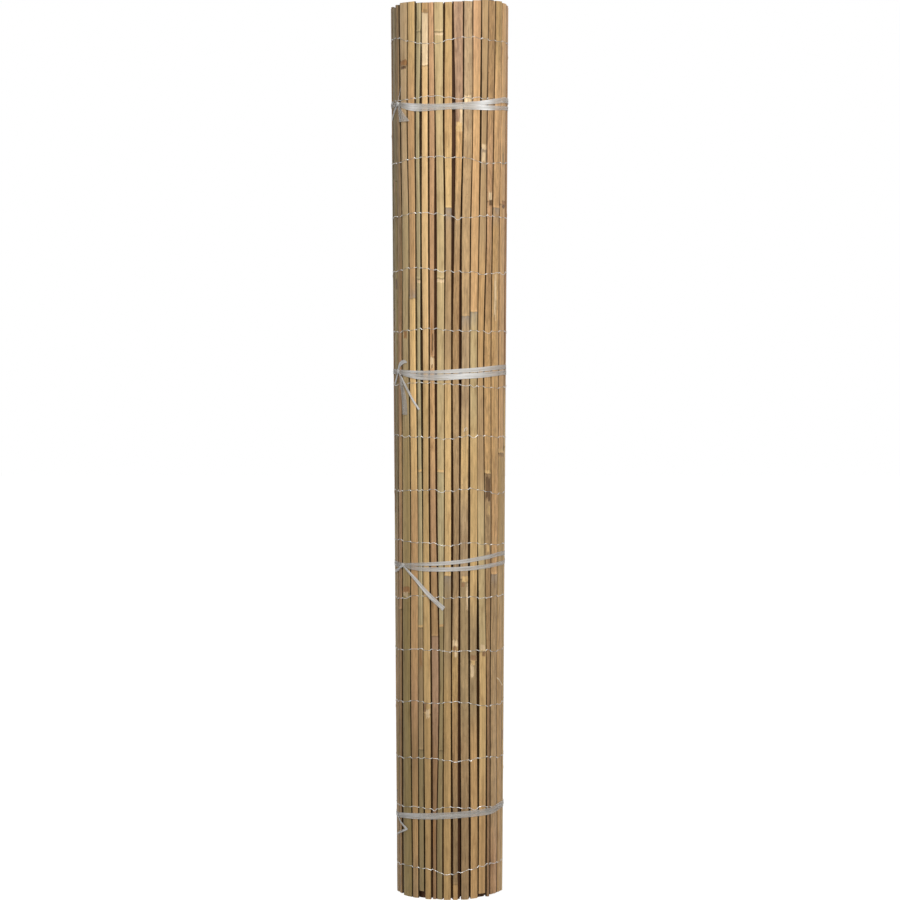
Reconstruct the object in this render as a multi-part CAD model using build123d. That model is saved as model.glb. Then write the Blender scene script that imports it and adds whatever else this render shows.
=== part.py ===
from build123d import *

import math
import os
from typing import NamedTuple

# A split-bamboo screening mat, rolled up, tied and standing on its end.
# Millimetres. +Z runs up the roll's axis, the floor is at zero and the front faces -Y.

# The roll, which is wound a little tighter at its foot
mat_height = 1500.0
roll_top_diameter = 205.0
roll_bottom_diameter = 185.5
core_diameter = 66.0
turn_slack = 1.0

# The bamboo slats: a flat back, a low crown on the face, and sides that lean in towards the back
slat_thickness = 4.6
slat_crown = 0.6
slat_side_lean = 0.7
slat_gap = 2.6
slat_width = 14.2
slat_width_swing = 4.0
slat_width_beat = 2.4
notch_depth = 3.0

# The slats seen across the front, from left to right, and where the first of them starts
front_slat_widths = (
    15.6, 11.3, 21.2, 15.0, 8.4, 12.0, 9.3, 11.5, 12.3,
    12.4, 15.1, 13.9, 13.2, 11.8, 19.2, 22.9, 17.3,
)
front_left_angle = -78.0
slats_before_front = 11

# The slat ends, a little ragged all round: across the front, how far each stands above the level ends
end_wander = 1.5
foot_beat = 2.7
head_beat = 1.9
front_foot_rises = (2, 2, 0, 0, 13, 0, 1, 1, 0, 0, 0, 1, 8, 1, 4, 4, 3)
front_head_rises = (-3, 1, 3, 3, 0, 0, 0, 0, 0, 1, 2, 4, 6, 5, 6, 4, 2)

# The wire rows, spread between two margins, each drifting a little from an even spacing
wire_bottom_margin = 54.0
wire_top_margin = 63.0
wire_row_drift = (0, 9, 1, 2, -1, -6, -6, -11, -13, -19, -21, -14, -15, -14, -4, 0)
wire_depth = 0.9
wire_breadth = 1.4
seat_clearance = 0.12

# The twist in one wire row that joins each slat of the outer turn to the next
joint_row = 8
joint_height = 6.0
joint_inset = 1.2
joint_bite = 0.8

# The tie tape and its knots
tape_width = 7.0
tape_thickness = 0.4
tape_clearance = 0.25
knot_length = 13.0
knot_height = 12.0
knot_depth = 4.5
knot_chamfer = 1.6


class Slat(NamedTuple):
    """The two edges of a slat, as angles round the spiral from the mat's free edge."""

    start: float
    end: float


class Tail(NamedTuple):
    """A loose tape end: its width at each end and its corners, as degrees and mm from the knot."""

    start_width: float
    end_width: float
    corners: tuple


class Tie(NamedTuple):
    """A tape wound twice round the roll: set out from a wire row, sloping, with a knot and tails."""

    row: int
    rise: float
    slope: float
    second_drop: float
    second_slope: float
    knot_angle: float
    tails: tuple


ties = (
    Tie(14, -3.0, 2.6, 8.5, -0.2, -62.0, (
        Tail(4.0, 7.0, ((-17, -21),)),
        Tail(4.0, 18.0, ((11, -30),)),
        Tail(2.0, 1.5, ((6, 29),)),
    )),
    Tie(9, 26.0, 2.9, 10.0, 1.6, -65.0, (
        Tail(4.0, 4.0, ((14, 15),)),
        Tail(5.0, 4.0, ((32, -65),)),
        Tail(6.0, 8.0, ((10, -74),)),
        Tail(5.0, 8.0, ((-8, -21),)),
    )),
    Tie(6, -29.5, 5.3, 11.0, 3.7, -57.0, (
        Tail(6.0, 7.5, ((50, -68),)),
        Tail(5.0, 4.0, ((-22, -12),)),
    )),
    Tie(1, -11.0, 4.9, 3.0, 4.5, -77.0, (
        Tail(4.0, 3.7, ((24, -16), (-1, -31))),
    )),
)

# A flat slat sags below the circle that it is rolled to, most of all next to the core
half_span = (slat_width + slat_width_swing + slat_gap) / 2
turn_pitch = slat_thickness + half_span**2 / core_diameter + turn_slack


def is_front(index):
    """Whether a slat, counted from the mat's free edge, is one of those seen across the front."""
    return slats_before_front <= index < slats_before_front + len(front_slat_widths)


def width_of(index):
    """The width of a slat, counted from the mat's free edge."""
    if is_front(index):
        return front_slat_widths[index - slats_before_front]
    return slat_width + slat_width_swing * math.sin(slat_width_beat * index)


def crest_radius(turn):
    """The spiral that the slats' outer edges lie on, at the roll's top."""
    return roll_top_diameter / 2 - turn_pitch * turn / math.tau


def lay_slats():
    """The slats from the free edge at the back inwards to the core."""
    laid = []
    turn = 0.0
    while crest_radius(turn) - slat_thickness > core_diameter / 2:
        end = turn + width_of(len(laid)) / crest_radius(turn)
        laid.append(Slat(turn, end))
        turn = end + slat_gap / crest_radius(end)
    return laid


slats = lay_slats()
outer_slats = [slat for slat in slats if slat.end < math.tau]
free_edge_angle = math.radians(front_left_angle) - slats[slats_before_front].start


def on_roll(radius, turn):
    """A point of the top section, at a radius and an angle round the spiral."""
    angle = free_edge_angle + turn
    return Vector(radius * math.sin(angle), -radius * math.cos(angle))


def narrowing(height):
    """The size of the section at a height, against the section at the roll's top."""
    foot = roll_bottom_diameter / roll_top_diameter
    return foot + (1 - foot) * height / mat_height


def at_height(points, height):
    """Points of the top section, drawn in to their place at a height."""
    scale = narrowing(height)
    return [Vector(point.X * scale, point.Y * scale, height) for point in points]


def upright(section, foot, head):
    """A closed section of the roll as a solid between two heights."""
    ends = [Wire.make_polygon(at_height(section, height)) for height in (foot, head)]
    return Solid.make_loft(ends, ruled=True)


def slat_section(slat):
    """The section of one slat: two edges, the crown between them and the narrower back."""
    left = on_roll(crest_radius(slat.start), slat.start)
    right = on_roll(crest_radius(slat.end), slat.end)
    along = (right - left).normalized()
    outward = Vector(along.Y, -along.X)
    back = outward * -slat_thickness
    lean = along * slat_side_lean
    crown = (left + right) * 0.5 + outward * slat_crown
    return [left, crown, right, right + back - lean, left + back + lean]


def slat_ends(index):
    """The heights of a slat's two ends."""
    if is_front(index):
        front_index = index - slats_before_front
        return front_foot_rises[front_index], mat_height + front_head_rises[front_index]
    foot_rise = end_wander * (1 + math.sin(foot_beat * index)) / 2
    return foot_rise, mat_height + end_wander * math.sin(head_beat * index)


def gap_after(index):
    """The angle round the spiral of the middle of the gap that follows a slat."""
    return (slats[index].end + slats[index + 1].start) / 2


def inner_turns():
    """Every turn but the outer one: a wall wound in a spiral, notched between its slats."""
    first = len(outer_slats)
    last = len(slats) - 1
    face = []
    back = [on_roll(crest_radius(slats[first].start) - slat_thickness, slats[first].start)]
    for index in range(first, last + 1):
        slat = slats[index]
        face += [on_roll(crest_radius(turn), turn) for turn in slat]
        if index < last:
            gap = gap_after(index)
            face.append(on_roll(crest_radius(gap) - notch_depth, gap))
            back.append(on_roll(crest_radius(gap) - slat_thickness, gap))
    back.append(on_roll(crest_radius(slats[last].end) - slat_thickness, slats[last].end))
    return upright(face + back[::-1], 0.0, mat_height)


def wire_height(row):
    """The height of a wire row, counted from the lowest."""
    spacing = (mat_height - wire_bottom_margin - wire_top_margin) / (len(wire_row_drift) - 1)
    return wire_bottom_margin + row * spacing + wire_row_drift[row]


def slat_joint(index):
    """The block that joins a slat of the outer turn to the next one."""
    gap = gap_after(index)
    height = wire_height(joint_row)
    middle = at_height([on_roll(crest_radius(gap) - slat_thickness / 2, gap)], height)[0]
    breadth = slat_gap + 2 * (slat_side_lean + joint_bite)
    block = Box(breadth, slat_thickness - 2 * joint_inset, joint_height)
    return Location(middle, (0, 0, math.degrees(free_edge_angle + gap))) * block


def bamboo_mat_roll():
    """The rolled mat: the slats of the outer turn, joined at their gaps, round the inner turns."""
    turn = [upright(slat_section(slat), *slat_ends(i)) for i, slat in enumerate(outer_slats)]
    joints = [slat_joint(i) for i in range(len(outer_slats))]
    return inner_turns().fuse(*turn, *joints)


def seat_radius(slat):
    """How far out a straight run bends at the gaps beside a slat, to lie on its crown."""
    radius = crest_radius(slat.start)
    half_width = (slat.end - slat.start) / 2
    half_run = half_width + slat_gap / radius / 2
    return (radius * math.cos(half_width) + slat_crown) / math.cos(half_run)


def over_slats(lift):
    """A run over the outer turn, bent at each gap and lifted off the slats' crowns."""
    run = [on_roll(seat_radius(outer_slats[0]) + lift, outer_slats[0].start)]
    for index in range(len(outer_slats) - 1):
        radius = max(seat_radius(slats[index]), seat_radius(slats[index + 1]))
        run.append(on_roll(radius + lift, gap_after(index)))
    run.append(on_roll(seat_radius(outer_slats[-1]) + lift, outer_slats[-1].end))
    return run


def weave_wire(row):
    """One row of wire, three-sided, over the slats of the outer turn."""
    path = Wire.make_polygon(at_height(over_slats(seat_clearance), wire_height(row)), close=False)
    along = path % 0
    section_plane = Plane(path @ 0, x_dir=along.cross(Vector(0, 0, 1)), z_dir=along)
    half = wire_breadth / 2
    section = section_plane * Polygon((0, -half), (wire_depth, 0), (0, half), align=None)
    return sweep(section, path, transition=Transition.RIGHT)


def half_loop(points):
    """The corners that a line keeps when it is pulled tight round one side of some points."""
    kept = []
    for point in points:
        while len(kept) > 1 and (kept[-1] - kept[-2]).cross(point - kept[-1]).Z <= 0:
            kept.pop()
        kept.append(point)
    return kept[:-1]


def tight_loop(height, lift):
    """The face inside a tape pulled tight round the roll, which bridges the step at the free edge."""
    points = sorted(at_height(over_slats(lift), height), key=lambda point: (point.X, point.Y))
    return Face(Wire.make_polygon(half_loop(points) + half_loop(points[::-1])))


def tape_wall(height, lift, reach):
    """A tall wall of tape round the roll, from which a pass or a tail is cut."""
    wall = tight_loop(height, lift + tape_thickness) - tight_loop(height, lift)
    return extrude(wall, reach, dir=(0, 0, 1), both=True)


def tape_pass(height, lift, slope):
    """One pass of tape round the roll, higher on the right by its slope in degrees."""
    reach = abs(sideways_rise(90, slope)) + tape_width
    band = Box(2 * roll_top_diameter, 2 * roll_top_diameter, tape_width)
    return tape_wall(height, lift, reach) & Location((0, 0, height), (0, -slope, 0)) * band


def tie_height(tie):
    """The height at which a tie's first pass crosses the roll's axis."""
    return wire_height(tie.row) + tie.rise


def sideways_rise(angle, slope):
    """How much higher a sloping pass lies at an angle from the front than at the roll's axis."""
    sideways = roll_top_diameter / 2 * math.sin(math.radians(angle))
    return sideways * math.tan(math.radians(slope))


def tie_lift(tie):
    """How far a tie's first pass is lifted off the slats: over the wire, if it crosses a row."""
    reach = tie.second_drop + tape_width + sideways_rise(90, tie.slope)
    rows = [wire_height(row) for row in range(len(wire_row_drift))]
    crosses_wire = any(abs(row - tie_height(tie)) < reach for row in rows)
    return seat_clearance + (wire_depth + tape_clearance if crosses_wire else 0.0)


def beside_knot(tie, degrees, rise):
    """A point on the slats, set out from a tie's knot."""
    turn = math.radians(tie.knot_angle + degrees) - free_edge_angle
    height = tie_height(tie) - tie.second_drop / 2 + sideways_rise(tie.knot_angle, tie.slope) + rise
    return at_height([on_roll(crest_radius(turn) + slat_crown, turn)], height)[0]


def tie_knot(tie):
    """The lump of a knot, sunk half way through the tape that it is tied in."""
    lump = chamfer(Box(knot_length, 2 * knot_depth, knot_height).edges(), knot_chamfer)
    under_knot = tight_loop(tie_height(tie), tie_lift(tie) + tape_thickness / 2)
    cleared = extrude(under_knot, roll_top_diameter, dir=(0, 0, 1), both=True)
    return Location(beside_knot(tie, 0, 0), (0, 0, tie.knot_angle)) * lump - cleared


def tail_plank(start, end, start_width, end_width):
    """A plank that cuts a strip, with a width at each end, out of a tape wall."""
    along = end - start
    outward = Vector(start.X + end.X, start.Y + end.Y)
    plane = Plane(start, x_dir=along, z_dir=along.cross(outward).cross(along))
    strip = plane * Polygon(
        (0, -start_width / 2),
        (along.length, -end_width / 2),
        (along.length, end_width / 2),
        (0, start_width / 2),
        align=None,
    )
    return extrude(strip, roll_bottom_diameter / 4, both=True)


def tie_tail(tie, tail):
    """A loose end of tape, lying round the roll over the wire and both passes."""
    corners = [beside_knot(tie, *corner) for corner in ((0, 0),) + tail.corners]
    widths = [tail.start_width] + [tail.end_width] * len(tail.corners)
    legs = zip(corners, corners[1:], widths, widths[1:])
    planks = [tail_plank(*leg) for leg in legs]
    lift = wire_depth + tape_clearance + 2 * (tape_thickness + seat_clearance) + seat_clearance
    reach = max(abs(corner.Z - tie_height(tie)) for corner in corners) + tape_width
    return tape_wall(tie_height(tie), lift, reach) & Part() + planks


def tape_tie(tie):
    """A whole tie: two passes of tape, one over the other, with the knot and its tails."""
    lift = tie_lift(tie)
    second_height = tie_height(tie) - tie.second_drop
    first = tape_pass(tie_height(tie), lift, tie.slope)
    second = tape_pass(second_height, lift + tape_thickness + seat_clearance, tie.second_slope)
    tails = [tie_tail(tie, tail) for tail in tie.tails]
    return first.fuse(second, tie_knot(tie), *tails)


os.makedirs("parts", exist_ok=True)
export_step(bamboo_mat_roll(), "parts/bamboo_mat_roll.step")
for row in range(len(wire_row_drift)):
    export_step(weave_wire(row), f"parts/weave_wire_{row + 1:02d}.step")
for number, tie in enumerate(ties, start=1):
    export_step(tape_tie(tie), f"parts/tie_{number}.step")
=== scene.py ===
import math
import random
from typing import NamedTuple

import bpy
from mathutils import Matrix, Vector, noise


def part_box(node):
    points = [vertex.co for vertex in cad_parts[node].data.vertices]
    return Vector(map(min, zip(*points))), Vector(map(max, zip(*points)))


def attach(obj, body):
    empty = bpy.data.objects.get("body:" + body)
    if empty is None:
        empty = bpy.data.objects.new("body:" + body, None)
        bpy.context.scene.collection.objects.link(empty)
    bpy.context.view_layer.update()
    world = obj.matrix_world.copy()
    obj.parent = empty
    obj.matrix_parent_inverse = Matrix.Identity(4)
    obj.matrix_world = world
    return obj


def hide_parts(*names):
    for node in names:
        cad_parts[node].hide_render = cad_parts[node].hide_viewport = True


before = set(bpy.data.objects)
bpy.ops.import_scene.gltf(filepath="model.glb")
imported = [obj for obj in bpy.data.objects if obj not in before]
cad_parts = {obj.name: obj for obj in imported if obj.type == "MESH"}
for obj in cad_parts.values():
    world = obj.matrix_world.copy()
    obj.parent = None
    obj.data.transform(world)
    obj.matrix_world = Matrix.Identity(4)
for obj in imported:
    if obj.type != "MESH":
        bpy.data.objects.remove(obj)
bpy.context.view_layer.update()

# A split-bamboo screening mat, rolled up, tied with tape and standing on its end.
# Metres. +Z runs up the roll's axis, the floor is at zero and the front faces -Y.
MM = 0.001

# The roll and its slats, laid out as the solids are
mat_height = 1500 * MM
roll_top_radius = 102.5 * MM
roll_foot_radius = 92.75 * MM
core_radius = 33 * MM
turn_slack = 1.0 * MM
slat_thickness = 4.6 * MM
slat_crown = 0.6 * MM
slat_side_lean = 0.7 * MM
slat_gap = 2.6 * MM
slat_width = 14.2 * MM
slat_width_swing = 4.0 * MM
slat_width_beat = 2.4
front_slat_widths = (
    15.6, 11.3, 21.2, 15.0, 8.4, 12.0, 9.3, 11.5, 12.3,
    12.4, 15.1, 13.9, 13.2, 11.8, 19.2, 22.9, 17.3,
)
front_left_angle = math.radians(-78)
slats_before_front = 11
end_wander = 1.5 * MM
foot_beat = 2.7
head_beat = 1.9
front_foot_rises = (2, 2, 0, 0, 13, 0, 1, 1, 0, 0, 0, 1, 8, 1, 4, 4, 3)
front_head_rises = (-3, 1, 3, 3, 0, 0, 0, 0, 0, 1, 2, 4, 6, 5, 6, 4, 2)

half_span = (slat_width + slat_width_swing + slat_gap) / 2
turn_pitch = slat_thickness + half_span**2 / (2 * core_radius) + turn_slack
foot_ratio = roll_foot_radius / roll_top_radius


class Slat(NamedTuple):
    """The two edges of a slat, as angles round the spiral from the mat's free edge."""

    start: float
    end: float


def is_front(index):
    """Whether a slat, counted from the mat's free edge, is one of those seen across the front."""
    return slats_before_front <= index < slats_before_front + len(front_slat_widths)


def width_of(index):
    """The width of a slat, counted from the mat's free edge."""
    if is_front(index):
        return front_slat_widths[index - slats_before_front] * MM
    return slat_width + slat_width_swing * math.sin(slat_width_beat * index)


def crest_radius(turn):
    """The spiral that the slats' outer edges lie on, at the roll's top."""
    return roll_top_radius - turn_pitch * turn / math.tau


def lay_slats():
    """The slats from the free edge at the back inwards to the core."""
    laid = []
    turn = 0.0
    while crest_radius(turn) - slat_thickness > core_radius:
        end = turn + width_of(len(laid)) / crest_radius(turn)
        laid.append(Slat(turn, end))
        turn = end + slat_gap / crest_radius(end)
    return laid


slats = lay_slats()
outer_count = sum(slat.end < math.tau for slat in slats)
free_edge_angle = front_left_angle - slats[slats_before_front].start


def on_roll(radius, turn):
    """A point of the top section, at a radius and an angle round the spiral."""
    angle = free_edge_angle + turn
    return Vector((radius * math.sin(angle), -radius * math.cos(angle)))


def narrowing(height):
    """The size of the section at a height, against the section at the roll's top."""
    return foot_ratio + (1 - foot_ratio) * height / mat_height


def at_height(point, height):
    """A point of the top section, drawn in to its place at a height."""
    scale = narrowing(height)
    return Vector((point.x * scale, point.y * scale, height))


def slat_ends(index):
    """The heights of a slat's two ends, which are a little ragged."""
    if is_front(index):
        front_index = index - slats_before_front
        return front_foot_rises[front_index] * MM, mat_height + front_head_rises[front_index] * MM
    foot_rise = end_wander * (1 + math.sin(foot_beat * index)) / 2
    return foot_rise, mat_height + end_wander * math.sin(head_beat * index)


class SlatFace:
    """The flat frame of one slat in the top section: across it, and out from the roll."""

    def __init__(self, slat):
        self.left = on_roll(crest_radius(slat.start), slat.start)
        right = on_roll(crest_radius(slat.end), slat.end)
        self.width = (right - self.left).length
        self.across = (right - self.left).normalized()
        self.outward = Vector((self.across.y, -self.across.x))

    def point(self, share, depth, height):
        """A point at a share of the width, out from the two edges by a depth, at a height."""
        place = self.left + self.across * (share * self.width) + self.outward * depth
        return at_height(place, height)


# The tones of the bamboo, from the palest skin to the darkest stain
tones = {
    "bone": (0.97, 0.72, 0.43),
    "pale_gold": (0.97, 0.63, 0.273),
    "cream": (0.882, 0.578, 0.273),
    "raw": (0.861, 0.63, 0.367),
    "gold": (0.777, 0.514, 0.226),
    "apricot": (0.724, 0.436, 0.2),
    "straw": (0.714, 0.493, 0.263),
    "amber": (0.693, 0.457, 0.2),
    "honey": (0.64, 0.389, 0.168),
    "khaki": (0.63, 0.462, 0.231),
    "pink_tan": (0.609, 0.357, 0.179),
    "old_gold": (0.567, 0.362, 0.152),
    "green_khaki": (0.557, 0.441, 0.236),
    "tan": (0.525, 0.341, 0.168),
    "grey_tan": (0.509, 0.347, 0.189),
    "brown": (0.462, 0.278, 0.126),
    "dun": (0.441, 0.304, 0.152),
    "red_brown": (0.452, 0.226, 0.084),
    "grey_brown": (0.389, 0.252, 0.124),
    "olive": (0.357, 0.263, 0.124),
    "rust": (0.367, 0.21, 0.1),
    "olive_gold": (0.53, 0.375, 0.16),
    "moss": (0.42, 0.299, 0.118),
    "mauve": (0.45, 0.275, 0.16),
    "umber": (0.2, 0.113, 0.052),
}


class Chip(NamedTuple):
    """A torn or stained patch: its middle and length in mm, its two sides as shares, and its tone."""

    height: float
    length: float
    left: float
    right: float
    tone: str


class Look(NamedTuple):
    """A slat's tones from the head down, each to a height in mm, its nodes, chips, blooms and wear.

    A bloom is the height of a node and the length of the grey wax below it, or above it if negative.
    """

    stretches: tuple
    nodes: tuple = ()
    chips: tuple = ()
    blooms: tuple = ()
    wear_and_glint: float = 0.5


front_looks = (
    Look(
        (("olive", 1207), ("moss", 880), ("olive", 640), ("tan", 280), ("moss", 190), ("tan", 0)),
        (1207,),
        (Chip(1198, 20, 0.1, 0.5, "pink_tan"), Chip(1034, 16, 0.5, 0.9, "umber")),
    ),
    Look(
        (
            ("grey_brown", 1080), ("brown", 980), ("pink_tan", 790), ("honey", 680),
            ("pink_tan", 486), ("brown", 0),
        ),
        (486,),
        (Chip(285, 26, 0.2, 0.8, "rust"),),
        (),
        0.7,
    ),
    Look(
        (("straw", 1160), ("khaki", 790), ("olive_gold", 515), ("moss", 0)),
        (1400, 515),
        (
            Chip(1403, 9, 0.0, 1.0, "red_brown"), Chip(1395, 5, 0.1, 0.9, "umber"),
            Chip(950, 12, 0.3, 0.8, "red_brown"), Chip(520, 10, 0.05, 0.95, "red_brown"),
            Chip(512, 7, 0.2, 0.8, "raw"),
        ),
        (),
        0.4,
    ),
    Look(
        (
            ("gold", 1390), ("apricot", 1010), ("pale_gold", 690), ("apricot", 480),
            ("apricot", 375), ("pink_tan", 290), ("brown", 190), ("honey", 60), ("tan", 0),
        ),
        (1010,),
        (),
        ((1010, -24),),
        0.45,
    ),
    Look(
        (("green_khaki", 459), ("dun", 252), ("olive", 0)),
        (1453, 1042, 720, 459, 252),
        (
            Chip(1038, 5, 0.0, 1.0, "raw"), Chip(722, 4, 0.0, 1.0, "gold"),
            Chip(461, 4, 0.0, 1.0, "gold"), Chip(405, 26, 0.3, 0.9, "brown"),
        ),
        (),
        0.25,
    ),
    Look(
        (("honey", 1484), ("bone", 1396), ("cream", 890), ("amber", 313), ("old_gold", 0)),
        (1484, 1396, 313),
        (
            Chip(1486, 6, 0.2, 0.9, "brown"), Chip(323, 16, 0.0, 0.4, "rust"),
            Chip(314, 14, 0.35, 0.9, "raw"),
        ),
        (),
        0.35,
    ),
    Look(
        (
            ("pink_tan", 1345), ("pink_tan", 912), ("apricot", 720), ("pink_tan", 560),
            ("brown", 445), ("mauve", 270), ("rust", 0),
        ),
        (1345, 912, 445),
        (
            Chip(948, 62, 0.3, 0.6, "red_brown"), Chip(935, 30, 0.45, 0.75, "umber"),
            Chip(903, 18, 0.15, 0.85, "raw"), Chip(896, 6, 0.3, 0.7, "brown"),
            Chip(112, 46, 0.2, 0.5, "red_brown"),
        ),
        (),
        0.6,
    ),
    Look(
        (("khaki", 720), ("green_khaki", 462), ("olive", 0)),
        (1452, 1043, 720, 462, 253),
        (
            Chip(1448, 4, 0.0, 1.0, "raw"), Chip(1039, 5, 0.0, 1.0, "raw"),
            Chip(722, 4, 0.0, 1.0, "gold"), Chip(463, 4, 0.0, 1.0, "honey"),
        ),
        (),
        0.35,
    ),
    Look(
        (
            ("old_gold", 1380), ("honey", 1275), ("gold", 1160), ("tan", 880), ("gold", 546),
            ("dun", 380), ("old_gold", 0),
        ),
        (1160, 546),
        (),
        ((1160, 30), (546, 24)),
        0.5,
    ),
    Look(
        (
            ("mauve", 1296), ("honey", 1185), ("tan", 1085), ("brown", 870), ("tan", 680),
            ("grey_brown", 500), ("tan", 428), ("old_gold", 320), ("brown", 190),
            ("grey_brown", 27), ("honey", 0),
        ),
        (1296, 428, 27),
        (
            Chip(1310, 40, 0.6, 1.0, "raw"), Chip(1294, 14, 0.1, 0.9, "gold"),
            Chip(432, 12, 0.1, 0.9, "raw"), Chip(423, 12, 0.2, 0.7, "rust"),
            Chip(415, 10, 0.4, 0.9, "raw"),
        ),
        (),
        0.95,
    ),
    Look(
        (
            ("grey_tan", 1280), ("tan", 980), ("grey_tan", 790), ("amber", 680), ("grey_tan", 541),
            ("dun", 290), ("tan", 190), ("grey_brown", 0),
        ),
        (980, 541),
        (
            Chip(1340, 12, 0.05, 0.8, "raw"), Chip(1331, 8, 0.3, 0.7, "brown"),
            Chip(541, 9, 0.2, 1.0, "gold"), Chip(531, 8, 0.1, 0.5, "rust"),
            Chip(512, 42, 0.72, 0.98, "raw"),
        ),
        ((980, 26),),
        0.75,
    ),
    Look(
        (
            ("pink_tan", 1390), ("apricot", 987), ("khaki", 790), ("amber", 490), ("dun", 290),
            ("honey", 0),
        ),
        (987, 402),
        (
            Chip(408, 9, 0.1, 0.9, "rust"), Chip(400, 7, 0.2, 0.7, "gold"),
            Chip(386, 20, 0.1, 0.55, "raw"),
        ),
        ((987, 30),),
        0.5,
    ),
    Look(
        (
            ("tan", 1260), ("tan", 1075), ("honey", 880), ("tan", 680), ("khaki", 417),
            ("gold", 190), ("honey", 0),
        ),
        (1260, 417),
        (
            Chip(1262, 9, 0.1, 0.9, "raw"), Chip(1246, 16, 0.2, 0.7, "raw"),
            Chip(424, 10, 0.15, 0.8, "raw"), Chip(414, 9, 0.4, 0.9, "rust"),
        ),
        ((1260, 40),),
        0.35,
    ),
    Look(
        (
            ("brown", 1290), ("pink_tan", 1085), ("brown", 980), ("honey", 716), ("tan", 560),
            ("brown", 395), ("rust", 0),
        ),
        (1172, 716),
        (
            Chip(1180, 14, 0.2, 0.9, "raw"), Chip(1170, 10, 0.3, 1.0, "umber"),
            Chip(720, 5, 0.0, 1.0, "gold"), Chip(692, 40, 0.1, 0.9, "umber"),
            Chip(655, 16, 0.4, 0.8, "gold"), Chip(630, 30, 0.2, 0.7, "grey_brown"),
            Chip(590, 12, 0.3, 0.7, "gold"),
        ),
        (),
        1.0,
    ),
    Look(
        (
            ("old_gold", 1390), ("apricot", 1161), ("honey", 716), ("apricot", 546), ("tan", 110),
            ("pink_tan", 0),
        ),
        (1161, 546),
        (Chip(1012, 70, 0.25, 0.6, "raw"),),
        ((1161, 26), (546, 22)),
        0.9,
    ),
    Look(
        (("apricot", 750), ("old_gold", 470), ("honey", 0)),
        (1168, 750),
        (
            Chip(1244, 20, 0.3, 0.6, "grey_brown"), Chip(1169, 12, 0.3, 1.0, "red_brown"),
            Chip(1164, 6, 0.4, 0.8, "umber"), Chip(754, 6, 0.0, 1.0, "gold"),
            Chip(746, 5, 0.0, 1.0, "brown"),
        ),
        (),
        0.7,
    ),
    Look(
        (("pink_tan", 1390), ("red_brown", 860), ("amber", 0)),
        (760,),
        (Chip(270, 18, 0.0, 0.5, "rust"),),
    ),
)

# How far the edges of the front slats stray from an even spacing, in mm, at heights from the foot up
edge_heights = (108, 368, 650, 914, 1121, 1290, 1480)
front_edges = (
    ((0, 0, 0, 0, 0, 0, 0), (-8.5, -4, -0.5, 2.5, 3.5, 1.5, 0.5)),
    ((-8.5, -4.5, 0, 1, 2, 0, -1), (-8.5, -4.5, 0, 2.5, 5.5, 1, -1.5)),
    ((-4, -1.5, 0.5, 3.5, 5, 3, 1), (1, -1, 2, -1, 1, -2.5, 0)),
    ((1.5, -1, 1.5, 0, 0.5, -2, -0.5), (-0.5, 1, 2, -1, -1, -1.5, 0)),
    ((0, -0.5, 1, 0, -0.5, -1, 1.5), (1.5, 1, 0.5, -2, -1.5, -2.5, 1.5)),
    ((2, -0.5, 0, 0.5, -1, 0, 0.5), (1.5, 1.5, -1, -0.5, -1, -1, 0)),
    ((3, 2, -0.5, -0.5, -0.5, -0.5, -2), (0, 5, 0.5, -1.5, -1.5, -0.5, -2)),
    ((-1, 4.5, 1, 0.5, 0.5, -1, -3.5), (-2.5, -0.5, 1, 1.5, 2, 0, 0.5)),
    ((-2.5, -2, 0, 0, 2, 0, 1), (-1.5, -1.5, -1, -1, -0.5, 0.5, 0.5)),
    ((0, -2, 0.5, -1, 2, 4, 0.5), (-3.5, -3.5, -1.5, -2.5, -0.5, 3.5, 4)),
    ((0.5, -1.5, -2, 0, 0, 3, 3.5), (0, -1.5, -3, -1, -0.5, 3.5, 3)),
    ((1.5, -1, -1.5, -2, -1, 2, 2), (2, -1.5, -1, -3, -0.5, 1, 3)),
    ((2, 2, -3, -4, -1.5, 2, 2.5), (4.5, 3.5, -2, -6, -1, -0.5, 2.5)),
    ((5.5, 3, -3, -6, -1, -1, 1), (0.5, -1, -0.5, -2.5, -1.5, 1, 4.5)),
    ((1, -0.5, -1, -3.5, -1, 1, 4), (3, -1.5, 0, -1.5, -2, 2, 4)),
    ((3.5, -3, -2, -1.5, -2, 0, 3), (0, 0, 0, 0, 0, 0, 0)),
    ((0, 0, 0, 0, 0, 0, 0), (0, 0, 0, 0, 0, 0, 0)),
)
hidden_stray = 2.2 * MM

hidden_tones = (
    "honey", "tan", "pink_tan", "khaki", "green_khaki", "grey_tan",
    "brown", "gold", "olive", "old_gold", "apricot", "dun",
)
hidden_chip_tones = ("cream", "red_brown", "rust")
stretch_least = 220
stretch_most = 420
head_stretch_least = 40
hidden_chip_part = 0.5
hidden_chip_lefts = (0.0, 0.4)
hidden_chip_widths = (0.3, 0.6)
hidden_chip_lengths = (6, 22)
hidden_chip_rise = 4
hidden_bloom_part = 0.4
hidden_bloom_lengths = (20, 40)
hidden_wears = (0.25, 0.95)


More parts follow.
